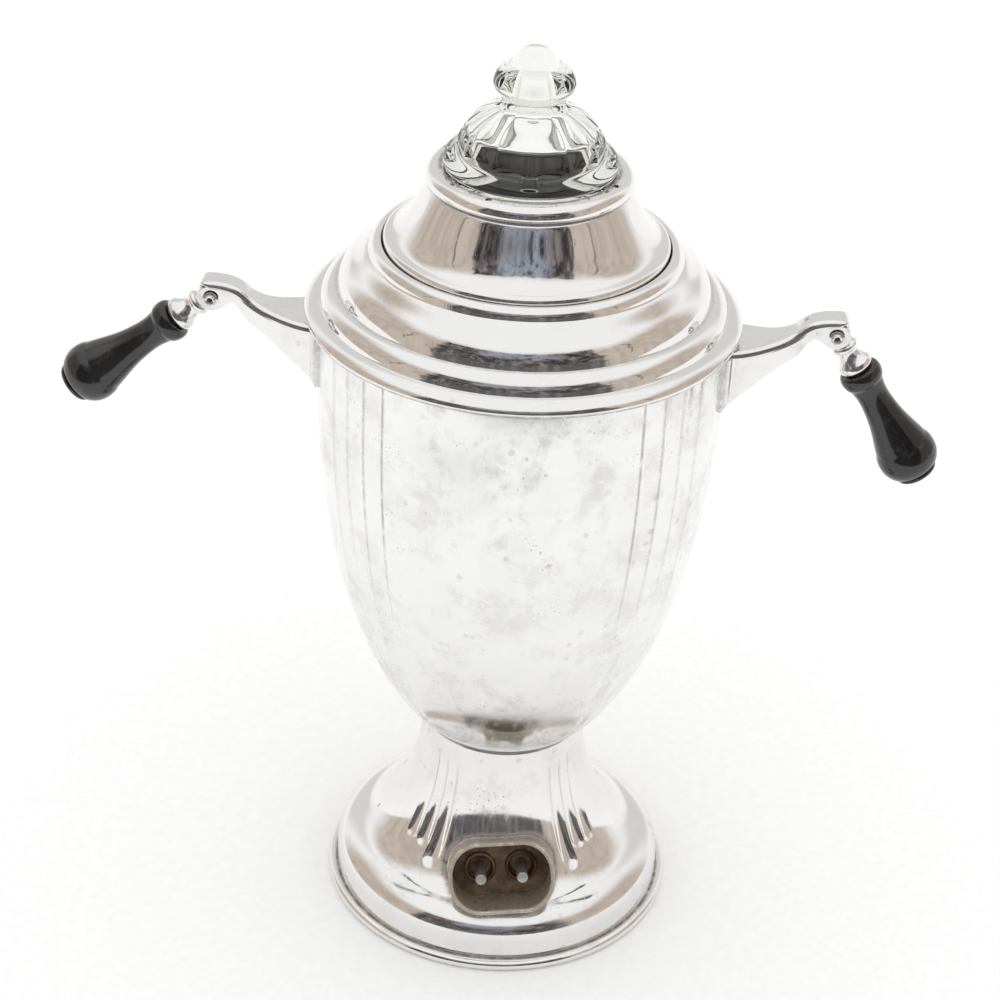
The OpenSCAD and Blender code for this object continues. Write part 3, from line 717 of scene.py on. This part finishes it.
# Dirt at the joint with the body; the thin dark band in the valley between the rolls is painted shade, and the
# mouth inside the rim is darkened all over
paint_grime_and_shade(collar, band(collar_z - 1.2, 0.7, 0.7), band(roll_2[-1][1], 0.25, 0.25),
         lambda x, y, z: 0.9 * (np.hypot(x, y) < mouth_r + 0.2))
finish_piece(collar, "urn", finish["bright_chrome"], "bright_chrome", "body_collar")


# ---------------------------------------------------------------- lid

lid_r = high("lid_shell").x
lid_neck_r = 37.8
lid_line = ([(lid_r, lid_z + 0.05), (lid_r, 305.2)] + roll((lid_r, 305.2), 2.2, 0, 80, 8)
            + curve((52.6, 307.7), (47.4, 309.6), (42.8, 321.5), (38.9, 328.4), 40)
            + [(38.9, 328.4), (lid_neck_r, 329.4), (lid_neck_r, 333.6)])
lid = lathe("lid", sheet_outline(lid_line, 0.9, 0.3, 0.45), 480)
paint_grime_and_shade(lid, band(329.4, 0.7, 0.7), band(lid_z + 3, 2.5, 0.6))
finish_piece(lid, "lid", finish["bright_chrome"], "bright_chrome", "lid_shell")

ring_r = 40
ring_hole_r = 30.6
vent_r, vents_at = 1.25, 35.6
ring_line = ([(ring_r - 1.2, 329.7), (ring_r - 0.3, 330.4)] + roll((ring_r, 331.6), 4.2, 0, 85, 16)
             + [(ring_hole_r, plate_z)])
neck_ring = lathe("neck_ring", sheet_outline(ring_line, 1.0, 0.25, 0.3), 480)
for k in range(4):
    a = math.radians(23 + 90 * k)
    vent_line = [(0, plate_z - 4), (vent_r, plate_z - 4), (vent_r, plate_z + 3), (0, plate_z + 3)]
    vent = lathe("vent", vent_line, 24,
                 place=lambda p: p + [-vents_at * math.sin(a), -vents_at * math.cos(a), 0])
    cut(neck_ring, vent)
paint_grime_and_shade(neck_ring, band(329.9, 0.6, 0.8),
         lambda x, y, z: 0.8 * np.exp(-((np.hypot(x, y) - 34.2) / 0.8) ** 2))
finish_piece(neck_ring, "lid", finish["bright_chrome"], "bright_chrome", "lid_ring")


# ---------------------------------------------------------------- glass top

GLASS_PANELS = 12
neck_z = 363.6
seat_z = plate_z - 2.2
glass_out = ([(29.4, seat_z), (29.4, plate_z + 0.2), (32.6, plate_z + 0.2)]
             + curve((33.4, 337.6), (33.6, 339.4), (33.0, 341.6), (29.2, 342.8), 12)
             + curve((28.6, 343.4), (28.4, 350.5), (22.5, 357.2), (14.5, 360), 24)
             + curve((14.5, 360), (12.6, 360.6), (11.8, 361.8), (11.7, neck_z), 8)
             + curve((11.7, neck_z), (12, 365), (15.2, 366.6), (15.6, 369.4), 10)
             + curve((15.6, 369.4), (15.4, 373), (12.9, 375.6), (8.9, 377.6), 12)
             + curve((8.9, 377.6), (7.7, 380.2), (5.6, glass_top_z - 0.2), (0, glass_top_z), 16)
             + [(0, glass_top_z)])
glass_in = ([(0, 371)] + curve((4, 371), (5.2, 370), (5.6, 368), (5.8, 364), 8)
            + curve((5.8, 364), (7, 359.2), (16, 357), (24.6, 351), 14)
            + curve((24.6, 351), (25, 349), (25.2, 345), (25.2, 342), 5) + [(25.6, seat_z)])
outside = softened(glass_out, 0.35, 0.5)
inside = softened(glass_in, 0.45, 0.8)
inside_run = np.linalg.norm(np.diff(inside, axis=0), axis=1).sum() + 0.1


def glass_press(angle, r, z, along):
    """Hollow panels round the outside of the dome, meeting in ribs that fade out in the neck."""
    dome = step_up(z, 343.2, 345.5) * (1 - step_up(z, 361.5, neck_z))
    swing = ((angle - math.radians(2)) * GLASS_PANELS / TAU) % 1 - 0.5
    hollow = 1 - (2 * np.abs(swing)) ** 4
    return -0.03 * r * hollow * dome * (along > inside_run) * (r > 11)


glass_dome = lathe("glass_dome", list(inside) + list(outside), 300, glass_press)
finish_piece(glass_dome, "lid", finish["clear_glass"], "clear_glass", "glass_knob")
seat_in, seat_out = 23.4, 33.2
seat_line = [(seat_in, seat_z - 1), (seat_out, seat_z - 1), (seat_out, seat_z - 0.1),
             (seat_in, seat_z - 0.1), (seat_in, seat_z - 1)]
seat = lathe("glass_seat", spaced(seat_line, 0.4)[:-1], 240)
finish_piece(seat, "lid", finish["bright_chrome"], "steel", "glass_retainer")


# ---------------------------------------------------------------- handles and their brackets

plate_top = (curve((77, 269), (90, 268.4), (101, 269.6), (107.6, 275.6), 24)
             + curve((107.6, 275.6), (111.6, 279.6), (115.5, 280.7), (122.3, 280.8), 16)
             + curve((122.3, 280.8), (125.8, 280.9), (127.2, 279.8), (127.0, 276.6), 16) + [(127.0, 276.4)])
gusset_edge = np.array([(76, 241.6), (82, 246), (88, 250.5), (94, 254.8), (99.8, 259.1), (105.6, 262.9),
                        (107.6, 264.4), (109, 266.4), (111, 269.8), (113.8, 272.4), (116.4, 271.4),
                        (118.6, 269.6)])
plate_w, plate_thick, plate_side = (14.6, 5.7), 1.5, 3.3
lug_r = 5.4
cheek_thick = 1.7


def half_width(x):
    return plate_w[0] + (plate_w[1] - plate_w[0]) * step_up(x, 79, 109)


def swept(path, section):
    """Layers of section(i) set square to a path in the XZ plane; section gives (across, inward)."""
    path = np.array(path, float)
    d = np.gradient(path, axis=0)
    d /= np.linalg.norm(d, axis=1)[:, None]
    layers = []
    for i, ((x, z), (dx, dz)) in enumerate(zip(path, d)):
        loop = section(i, x)
        layers.append(np.stack([x + loop[:, 1] * dz, loop[:, 0], z - loop[:, 1] * dx], -1))
    return layers


def strap_section(i, x):
    """Across the plate: a flat top with rounded sides that turn down, less so towards its nose."""
    w = half_width(min(x, 122)) if i < 41 else plate_w[1] - 0.012 * (i - 41) ** 2
    side, r = plate_side, 2.3
    if i >= 34:
        side -= (plate_side - plate_thick) * min(1, (i - 34) / 12)
        r -= 0.05 * (i - 34)
    wall = plate_thick * 0.8
    inner = [(-w + r, plate_thick), (-w + wall, min(side - 0.1, plate_thick + 0.9)), (-w + wall, side),
             (-w + 0.3, side)]
    outer = [(-w, side - 0.3), (-w, min(r, side - 0.4))]
    outer += [(-w + r + r * math.cos(a), min(r - r * math.sin(a), side - 0.5))
              for a in np.radians(np.linspace(180, 90, 9))]
    half = np.array(inner + outer)
    return np.concatenate([half, np.stack([-half[::-1, 0], half[::-1, 1]], -1)])


def cheek_layers(side):
    """One side plate: a flange against the body, then out to the fork and round the hinge lug."""
    hinge_x, hinge_z = hinge_at
    top = np.array(plate_top)
    root_w, flange_r = half_width(82), body_r + 1.6
    flange = [(math.sqrt(flange_r ** 2 - y * y), y) for y in np.linspace(root_w + 3.8, root_w + 1.9, 4)]
    bend = [(body_r + 3.6 - 2.4 * math.sin(a), root_w - 0.7 + 2.2 * (1 - math.cos(a)))
            for a in np.radians(np.linspace(80, 0, 6, endpoint=False))]
    xs = np.concatenate([np.linspace(82.6, 112, 26), np.linspace(113, 118.6, 9),
                         hinge_x + lug_r * np.sin(np.radians(np.linspace(-38, 89, 30)))])
    path = np.array(flange + bend + [(x, half_width(x) - 0.9) for x in xs])
    d = np.gradient(path, axis=0)
    d /= np.linalg.norm(d, axis=1)[:, None]
    layers = []
    for (x, y), (dx, dy) in zip(path, d):
        lowest = np.interp(x, gusset_edge[:, 0], gusset_edge[:, 1])
        highest = np.interp(x, top[:46, 0], top[:46, 1]) - 2.2
        if x > 118.6:
            reach = math.sqrt(max(lug_r ** 2 - (x - hinge_x) ** 2, 0.01))
            lowest = hinge_z - reach
            if x > hinge_x:
                highest = min(highest, hinge_z + reach)
        e = min(0.35, (highest - lowest) / 4)
        outer, bevelled, inner = ((x + cheek_thick * k * dy, y - cheek_thick * k * dx) for k in (0, 0.15, 1))
        loop = [(*outer, lowest + e), (*outer, highest - e), (*bevelled, highest),
                (*inner, highest), (*inner, lowest), (*bevelled, lowest)]
        layers.append([(a, side * b, c) for a, b, c in loop])
    return layers


def along_axis(origin, out, across):
    """A place for lathed pieces: their height runs along out from origin."""
    third = out.cross(across)
    turn = np.array([third, across, out])
    return lambda p: p @ turn + np.array(origin)


ferrule_profile = (curve((3.6, 5.2), (5.0, 5.8), (5.6, 6.6), (4.9, 7.9), 8)
                   + curve((4.9, 7.9), (3.2, 9.4), (4.6, 12.6), (6.5, 14.6), 12)
                   + curve((6.5, 14.6), (7.1, 16.2), (6.9, 17.6), (5.4, 18.3), 10) + [(4.6, 18.4)])
grip_profile = ([(0, 18.2), (5.4, 18.3)] + curve((7.4, 18.6), (8.7, 19.2), (8.9, 22.4), (7.7, 24.8), 12)
                + curve((7.2, 25.2), (5.9, 30.2), (6.1, 33.4), (6.5, 37), 14)
                + curve((6.5, 37), (7.3, 46), (9.6, 51), (11, 57.6), 24)
                + curve((11.4, 58.1), (12.5, 60.8), (12.4, 64.4), (11.1, 66.8), 16)
                + curve((11.1, 66.8), (10.3, 68.5), (9.3, 69.4), (8.2, 69.7), 8) + [(0, 69.7)])
cap_profile = ([(0, 69.6), (7.9, 69.9)] + curve((8.4, 70.2), (8.6, 71.6), (7.6, 72.3), (5, 72.4), 8)
               + [(0, 72.4)])
pin_profile = np.array([(0.95, 0), (0.95, 6.5), (1.2, 6.85), (1.6, 6.95), (1.95, 6.7), (2.1, 6.25),
                        (2.9, 6.05), (3.05, 5.75), (3.0, 5.5), (1.7, 5.5), (1.7, 0)])
tongue_w, tongue_r = 6.2, 4.3


def ferrule_layers():
    """From the tongue, which turns on the hinge pin, to the round cup that holds the grip."""
    def loop(w, h, r, x):
        ring = rounded(w, h, r, 10, 2)
        return np.stack([ring[:, 1], ring[:, 0], np.full(len(ring), x)], -1)
    xs = tongue_r * np.sin(np.radians(np.linspace(-84, 12, 14)))
    layers = [loop(tongue_w, 2 * math.sqrt(tongue_r ** 2 - x * x), 0.2, x) for x in xs]
    layers += [loop(tongue_w, 7.9, 0.8, 2.6), loop(tongue_w, 7.4, 1.6, 4.4)]
    layers += [loop(2 * r, 2 * r, r * 0.999, x) for r, x in softened(ferrule_profile, 0.2, 0.35)]
    return layers


for side, sign in (("left", -1), ("right", 1)):
    hinge = Vector(joints[side + "_handle_swing"]["pos_m"]) / MM
    hinge_at = (abs(hinge.x), hinge.z)
    rod = (low(side + "_tie_rod") + high(side + "_tie_rod")) / 2
    out = (rod - hinge).normalized()
    place = along_axis(hinge, out, Vector((0, 1, 0)))
    rides = side + "_handle"

    def hinge_gap(x, z):
        return np.hypot(np.abs(x) - hinge_at[0], z - hinge_at[1])

    def bracket_grime(x, y, z):
        at_body = 0.45 * np.exp(-((np.hypot(x, y) - body_r - 0.8) / 1.2) ** 2)
        return at_body + 0.5 * np.exp(-((hinge_gap(x, z) - 3.1) / 0.5) ** 2) * (np.abs(y) > 4)

    def ferrule_grime(x, y, z):
        far = (np.stack([x, y, z], -1) - np.array(hinge)) @ np.array(out)
        return 0.5 * np.exp(-((far - 18.2) / 0.4) ** 2)

    def pin_grime_and_bore_shade(x, y, z):
        # The bore of the hollow pin is darkened as painted shade in the hole; the ring round its head is dirt
        gap = hinge_gap(x, z)
        return 0.9 * (gap < 1.1) + 0.7 * np.exp(-((gap - 2.3) / 0.35) ** 2)

    flip = np.array([sign, 1, 1])
    strap = skinned(side + "_strap", np.array(swept(plate_top, strap_section)) * flip, False, True)
    cheeks = [skinned(side + "_cheek", np.array(cheek_layers(k)) * flip, False, True) for k in (-1, 1)]
    bracket = merged(side + "_bracket_pressed", [strap] + cheeks, 16)
    paint(bracket, "run", np.zeros(len(bracket.data.vertices)))
    paint_grime_and_shade(bracket, bracket_grime)
    finish_piece(bracket, "urn", cast_chrome, "dull_chrome", side + "_bracket")

    ferrule = skinned(side + "_ferrule_cup", [place(layer) for layer in ferrule_layers()], False, True)
    paint(ferrule, "run", np.zeros(len(ferrule.data.vertices)))
    paint_grime_and_shade(ferrule, ferrule_grime)
    finish_piece(ferrule, rides, cast_chrome, "dull_chrome", side + "_ferrule")
    grip_line = [(0, 18.2)] + list(softened(grip_profile[1:-1], 0.15, 0.4)) + [(0, 69.7)]
    grip = lathe(side + "_grip_turned", grip_line, 160, place=place)
    finish_piece(grip, rides, finish["black_phenolic"], "black_phenolic", side + "_grip")
    cap_line = [(0, 69.6)] + list(softened(cap_profile[1:], 0.1, 0.3))
    cap = lathe(side + "_cap_turned", cap_line, 120, place=place)
    finish_piece(cap, rides, finish["black_phenolic"], "black_phenolic", side + "_end_button")
    whole = np.concatenate([pin_profile, (pin_profile * [1, -1])[-2:0:-1]])
    pin = lathe(side + "_pin_spun", whole, 96,
                place=along_axis(hinge, Vector((0, 1, 0)), Vector((1, 0, 0))))
    paint_grime_and_shade(pin, pin_grime_and_bore_shade)
    finish_piece(pin, "urn", cast_chrome, "steel", side + "_hinge_pin")


# ---------------------------------------------------------------- stage, light and camera

def world_light():
    """What the metal mirrors: a bright room with a dim opening towards the viewer, buff panels on both
    sides and a pale grey wall behind. Glass sees the same room, but paler. Matt surfaces are lit evenly
    from all round, a little brighter than white, and the background is plain white."""
    world = bpy.data.worlds.new("room")
    bpy.context.scene.world = world
    world.use_nodes = True
    s = Surface(tree=world.node_tree, space="Generated")
    d = s.add("ShaderNodeSeparateXYZ", {0: s.coords}).outputs
    azimuth = s.math("MULTIPLY", s.math("ARCTAN2", d[0], s.math("MULTIPLY", d[1], -1.0)), 180 / math.pi)
    height = s.math("MULTIPLY", s.math("ARCSINE", d[2]), 180 / math.pi)
    turn = s.math("ABSOLUTE", azimuth)
    wander = s.math("MULTIPLY_ADD", s.noise(2.6, 3, 0.6), 16.0, -8.0)
    jitter = s.math("MULTIPLY_ADD", s.noise(11.0, 3, 0.6), 6.0, -3.0)
    streak = s.noise(1.0, 4, 0.65, vector=s.stretched((11, 11, 1.6)))
    clutter = s.noise(12.0, 4, 0.65)

    white = (1.0, 1.0, 1.0)
    buff = s.mix(s.ramp(streak, 0.35, 0.65), (0.64, 0.55, 0.475), (0.52, 0.445, 0.39))
    side = s.math("MULTIPLY", s.ramp(turn, 112, 134, (1, 0)), s.ramp(s.math("ADD", height, wander), 52, 34))
    colour = s.mix(side, white, buff)
    behind = s.math("MULTIPLY", s.ramp(height, 4, 12), s.ramp(height, 60, 42))
    behind = s.math("MULTIPLY", s.ramp(turn, 130, 146), behind)
    colour = s.mix(behind, colour, (0.74, 0.735, 0.72))

    edge = s.math("ADD", turn, s.math("ADD", wander, jitter))
    front = s.math("MULTIPLY", s.ramp(edge, 50, 53, (1, 0)), s.ramp(s.math("ADD", height, jitter), 45, 42))
    dim = s.mix(s.ramp(clutter, 0.40, 0.62), (0.035, 0.033, 0.036), (0.16, 0.14, 0.135))
    dim = s.mix(s.math("MULTIPLY", s.ramp(streak, 0.50, 0.62), 0.8), dim, (0.34, 0.30, 0.28))
    low = s.ramp(s.math("ADD", height, jitter), 14, 2)
    dim = s.mix(s.math("MULTIPLY", low, 0.6), dim, (0.15, 0.15, 0.155))
    glow = s.math("MULTIPLY", s.math("MULTIPLY", s.ramp(height, 22, 33), s.ramp(turn, 34, 16, (0, 1))),
                  s.ramp(clutter, 0.30, 0.55))
    dim = s.mix(s.math("MULTIPLY", glow, 0.75), dim, (0.42, 0.47, 0.56))
    fleck = s.add("ShaderNodeTexVoronoi", {"Vector": s.stretched((1, 1, 1.4)), "Scale": 30.0})
    rare = s.ramp(s.noise(5.0, 2), 0.54, 0.60)
    rare = s.math("MULTIPLY", s.ramp(fleck.outputs["Distance"], 0.30, 0.20), rare)
    rare = s.math("MULTIPLY", rare, s.math("MULTIPLY", s.ramp(height, 30, 24), s.ramp(height, 6, 10)))
    vivid = s.add("ShaderNodeHueSaturation", {"Color": fleck.outputs["Color"], "Saturation": 1.4,
                                              "Value": 0.45})
    dim = s.mix(s.math("MULTIPLY", rare, 0.7), dim, vivid)
    colour = s.mix(front, colour, dim)

    seam = s.math("ABSOLUTE", s.math("ADD", s.math("SUBTRACT", turn, 72.0), s.math("MULTIPLY", wander, 1.3)))
    seam = s.math("MULTIPLY", s.ramp(seam, 1.1, 0.5), s.ramp(s.math("ADD", height, wander), 40, 36))
    seam = s.math("MULTIPLY", seam, s.ramp(height, 8, 14))
    colour = s.mix(s.math("MULTIPLY", seam, 0.8), colour, (0.09, 0.085, 0.09))
    path = s.add("ShaderNodeLightPath").outputs
    seen_through = s.mix(0.72, colour, (1.0, 0.995, 0.985))
    colour = s.mix(path["Is Transmission Ray"], colour, seen_through)
    colour = s.mix(path["Is Diffuse Ray"], colour, (1.25, 1.25, 1.25))
    colour = s.mix(path["Is Camera Ray"], colour, white)
    background = s.add("ShaderNodeBackground", {"Color": colour, "Strength": 1.0})
    s.add("ShaderNodeOutputWorld", {"Surface": background})


def floor():
    half, front = 30.0, -0.62
    across = np.linspace(-3, 3, 241)
    ragged = front + 0.012 * np.sin(23 * across + 1.2 * np.sin(9 * across)) + 0.009 * np.sin(61 * across + 2)
    edge = [(x, y, 0) for x, y in zip(across, ragged)]
    corners = [(half, front, 0), (half, half, 0), (-half, half, 0), (-half, front, 0)]
    mesh = bpy.data.meshes.new("floor")
    mesh.from_pydata(edge + corners, [], [tuple(range(len(edge) + 4))])
    piece = bpy.data.objects.new("floor", mesh)
    bpy.context.scene.collection.objects.link(piece)
    s = Surface("paper")
    fibre = s.noise(220, 5, 0.6)
    piece.data.materials.append(s.shade(
        Base_Color=s.mix(s.ramp(fibre, 0.3, 0.7), (0.93, 0.93, 0.93), (0.90, 0.90, 0.90)), Roughness=0.9,
        Specular_IOR_Level=0.1, Normal=s.bump(fibre, 0.0001, 0.06)))


def camera():
    """A long lens from above, in front, tipped a little to one side."""
    tilt, yaw, lean = (math.radians(a) for a in (31.173, -1.959, 2.682))
    forward = Vector((math.sin(yaw) * math.cos(tilt), math.cos(yaw) * math.cos(tilt), -math.sin(tilt)))
    level = Vector((math.cos(yaw), -math.sin(yaw), 0))
    above = level.cross(forward)
    right = math.cos(lean) * level + math.sin(lean) * above
    up = -math.sin(lean) * level + math.cos(lean) * above
    data = bpy.data.cameras.new("camera")
    data.lens, data.sensor_width = 92.71, 36
    data.clip_start, data.clip_end = 0.05, 100
    view = bpy.data.objects.new("camera", data)
    bpy.context.scene.collection.objects.link(view)
    view.matrix_world = (Matrix.Translation(Vector((25.1, -899.3, 731.8)) * MM)
                         @ Matrix((right, up, -forward)).transposed().to_4x4())
    bpy.context.scene.camera = view


world_light()
floor()
camera()
bpy.context.scene.view_settings.view_transform = "Standard"
